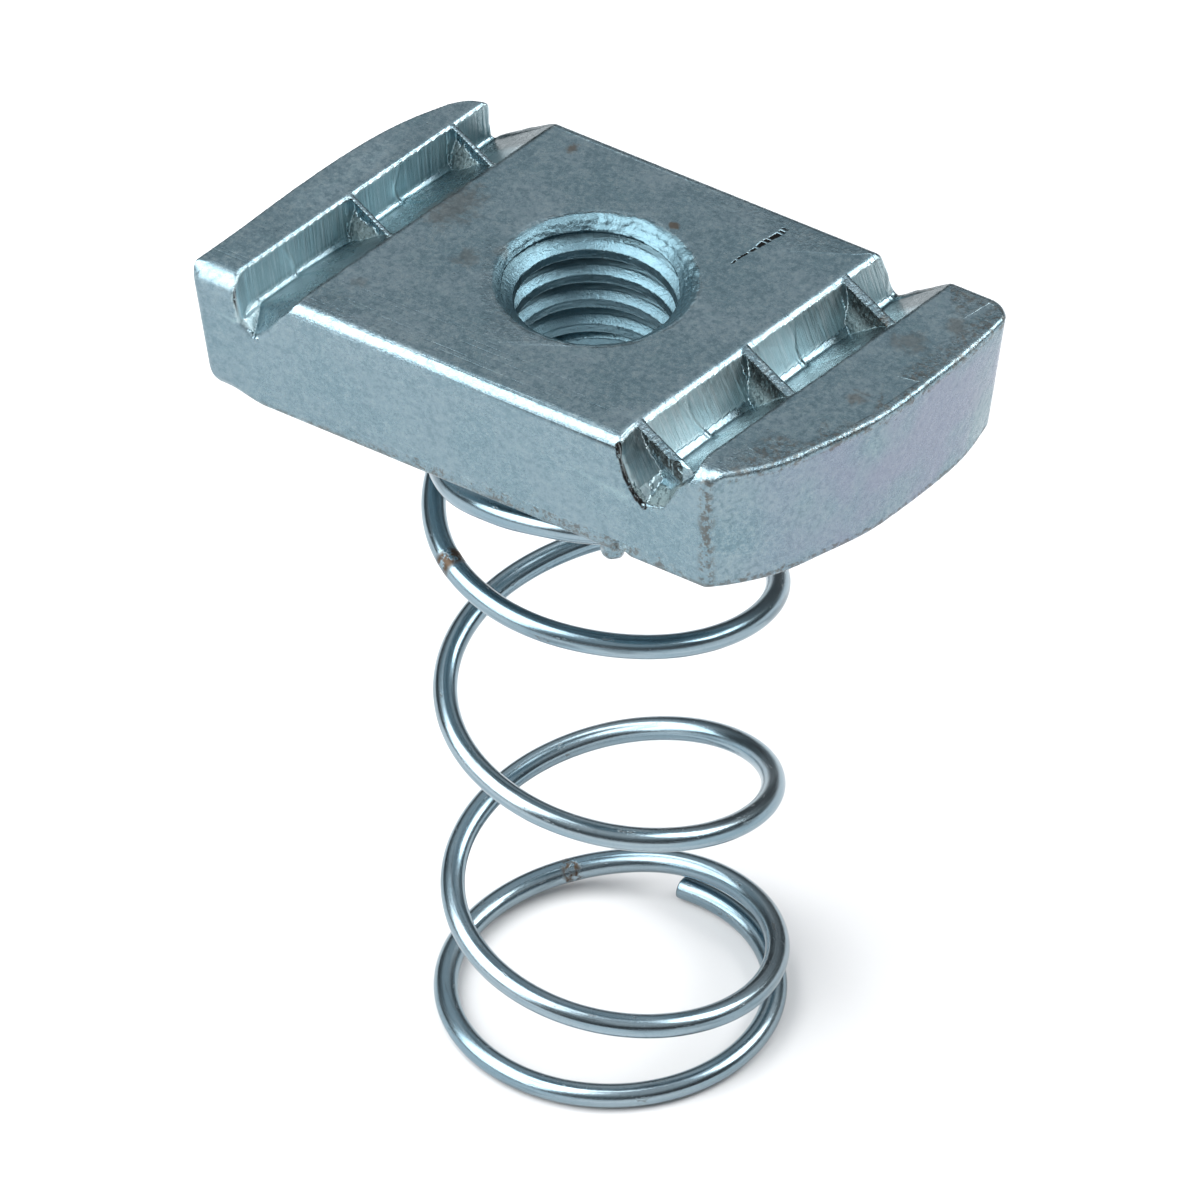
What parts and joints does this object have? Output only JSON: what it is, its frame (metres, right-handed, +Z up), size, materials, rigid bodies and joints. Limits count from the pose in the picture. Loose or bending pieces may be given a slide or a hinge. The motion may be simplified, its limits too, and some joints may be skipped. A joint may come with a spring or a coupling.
{
  "type": "strut spring nut",
  "caption": "Serrated channel nut with a tapped centre hole, held up by a long wire compression spring clinched beneath it.",
  "frame": {"origin": "on the axis of the tapped hole, at the level of the surface that the spring's bottom coil stands on", "axes": "+Z up along the tapped hole, +X along the plate towards its wider ear, +Y towards the back long side"},
  "size_m": [0.0359, 0.0191, 0.0461],
  "materials": {
    "zinc_plate": "bright blue zinc plate, satin, faintly iridescent on the ends",
    "zinc_wire": "bright zinc-plated drawn wire, smooth"
  },
  "bodies": {
    "spring": {"coil_spring": "zinc_wire"},
    "nut": {"nut_plate": "zinc_plate"}
  },
  "joints": [
    {"name": "spring_press", "type": "slide", "parent": "spring", "child": "nut", "axis": [0, 0, 1], "range_m": [-0.025, 0], "stiffness_N_per_m": 1500, "deforming": ["coil_spring"]}
  ]
}
